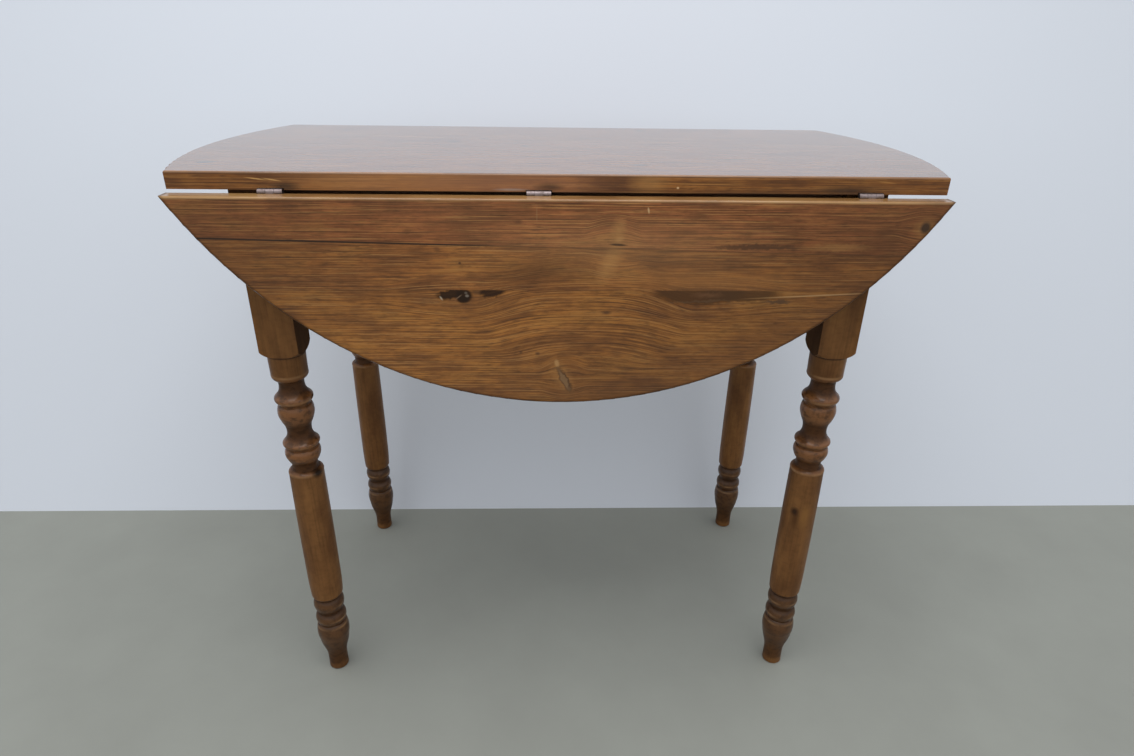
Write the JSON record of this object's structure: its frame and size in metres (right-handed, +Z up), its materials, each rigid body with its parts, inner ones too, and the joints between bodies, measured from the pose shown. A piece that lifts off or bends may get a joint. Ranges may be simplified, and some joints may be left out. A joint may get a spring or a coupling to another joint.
{
  "type": "pembroke table",
  "caption": "Round drop-leaf table in stained pine, leaves hanging from a fixed centre board on turned legs, with hinged brackets that bear the raised leaves.",
  "frame": {"origin": "on the floor, under the middle of the centre board", "axes": "+Z up, X along the hinge seams, front leaf at -Y"},
  "size_m": [0.874, 0.452, 0.72],
  "materials": {
    "top_pine": "stained and varnished pine, satin",
    "leg_pine": "turned, stained and varnished pine",
    "frame_pine": "stained and varnished pine, satin",
    "inner_pine": "bare planed pine, darkened with age",
    "hinge_steel": "dull steel",
    "bracket_steel": "dull steel",
    "screw_steel": "dull steel"
  },
  "bodies": {
    "frame": {"bracket_hanger_screws": "screw_steel", "centre_top": "top_pine", "corner_block_screws": "screw_steel", "front_left_bracket_hanger": "bracket_steel", "front_left_bracket_pin": "bracket_steel", "front_left_corner_block": "inner_pine", "front_left_hinge_pin": "hinge_steel", "front_left_hinge_top_plate": "hinge_steel", "front_left_leg": "leg_pine", "front_middle_hinge_pin": "hinge_steel", "front_middle_hinge_top_plate": "hinge_steel", "front_rail": "frame_pine", "front_right_bracket_hanger": "bracket_steel", "front_right_bracket_pin": "bracket_steel", "front_right_corner_block": "inner_pine", "front_right_hinge_pin": "hinge_steel", "front_right_hinge_top_plate": "hinge_steel", "front_right_leg": "leg_pine", "hinge_top_screws": "screw_steel", "left_end_rail": "frame_pine", "rear_left_bracket_hanger": "bracket_steel", "rear_left_bracket_pin": "bracket_steel", "rear_left_corner_block": "inner_pine", "rear_left_hinge_pin": "hinge_steel", "rear_left_hinge_top_plate": "hinge_steel", "rear_left_leg": "leg_pine", "rear_middle_hinge_pin": "hinge_steel", "rear_middle_hinge_top_plate": "hinge_steel", "rear_rail": "frame_pine", "rear_right_bracket_hanger": "bracket_steel", "rear_right_bracket_pin": "bracket_steel", "rear_right_corner_block": "inner_pine", "rear_right_hinge_pin": "hinge_steel", "rear_right_hinge_top_plate": "hinge_steel", "rear_right_leg": "leg_pine", "right_end_rail": "frame_pine", "top_button_screws": "screw_steel", "top_buttons": "inner_pine"},
    "front_leaf": {"front_leaf": "top_pine", "front_leaf_hinge_screws": "screw_steel", "front_left_hinge_leaf_plate": "hinge_steel", "front_middle_hinge_leaf_plate": "hinge_steel", "front_right_hinge_leaf_plate": "hinge_steel"},
    "rear_leaf": {"rear_leaf": "top_pine", "rear_leaf_hinge_screws": "screw_steel", "rear_left_hinge_leaf_plate": "hinge_steel", "rear_middle_hinge_leaf_plate": "hinge_steel", "rear_right_hinge_leaf_plate": "hinge_steel"},
    "front_left_bracket": {"front_left_bracket_arm": "inner_pine"},
    "front_right_bracket": {"front_right_bracket_arm": "inner_pine"},
    "rear_left_bracket": {"rear_left_bracket_arm": "inner_pine"},
    "rear_right_bracket": {"rear_right_bracket_arm": "inner_pine"}
  },
  "joints": [
    {"name": "front_leaf_hinge", "type": "hinge", "parent": "frame", "child": "front_leaf", "pos_m": [0, -0.206, 0.7], "axis": [-1, 0, 0], "range_deg": [0, 90]},
    {"name": "front_left_bracket_swing", "type": "hinge", "parent": "frame", "child": "front_left_bracket", "pos_m": [-0.13, -0.197, 0.645], "axis": [-1, 0, 0], "range_deg": [0, 112]},
    {"name": "front_right_bracket_swing", "type": "hinge", "parent": "frame", "child": "front_right_bracket", "pos_m": [0.13, -0.197, 0.645], "axis": [-1, 0, 0], "range_deg": [0, 112]},
    {"name": "rear_leaf_hinge", "type": "hinge", "parent": "frame", "child": "rear_leaf", "pos_m": [0, 0.206, 0.7], "axis": [1, 0, 0], "range_deg": [0, 90]},
    {"name": "rear_left_bracket_swing", "type": "hinge", "parent": "frame", "child": "rear_left_bracket", "pos_m": [-0.13, 0.197, 0.645], "axis": [1, 0, 0], "range_deg": [0, 112]},
    {"name": "rear_right_bracket_swing", "type": "hinge", "parent": "frame", "child": "rear_right_bracket", "pos_m": [0.13, 0.197, 0.645], "axis": [1, 0, 0], "range_deg": [0, 112]}
  ],
  "couplings": [
    {"joint": "front_left_bracket_swing", "follows": "front_leaf_hinge", "ratio": 1.2444},
    {"joint": "front_right_bracket_swing", "follows": "front_leaf_hinge", "ratio": 1.2444},
    {"joint": "rear_left_bracket_swing", "follows": "rear_leaf_hinge", "ratio": 1.2444},
    {"joint": "rear_right_bracket_swing", "follows": "rear_leaf_hinge", "ratio": 1.2444}
  ]
}
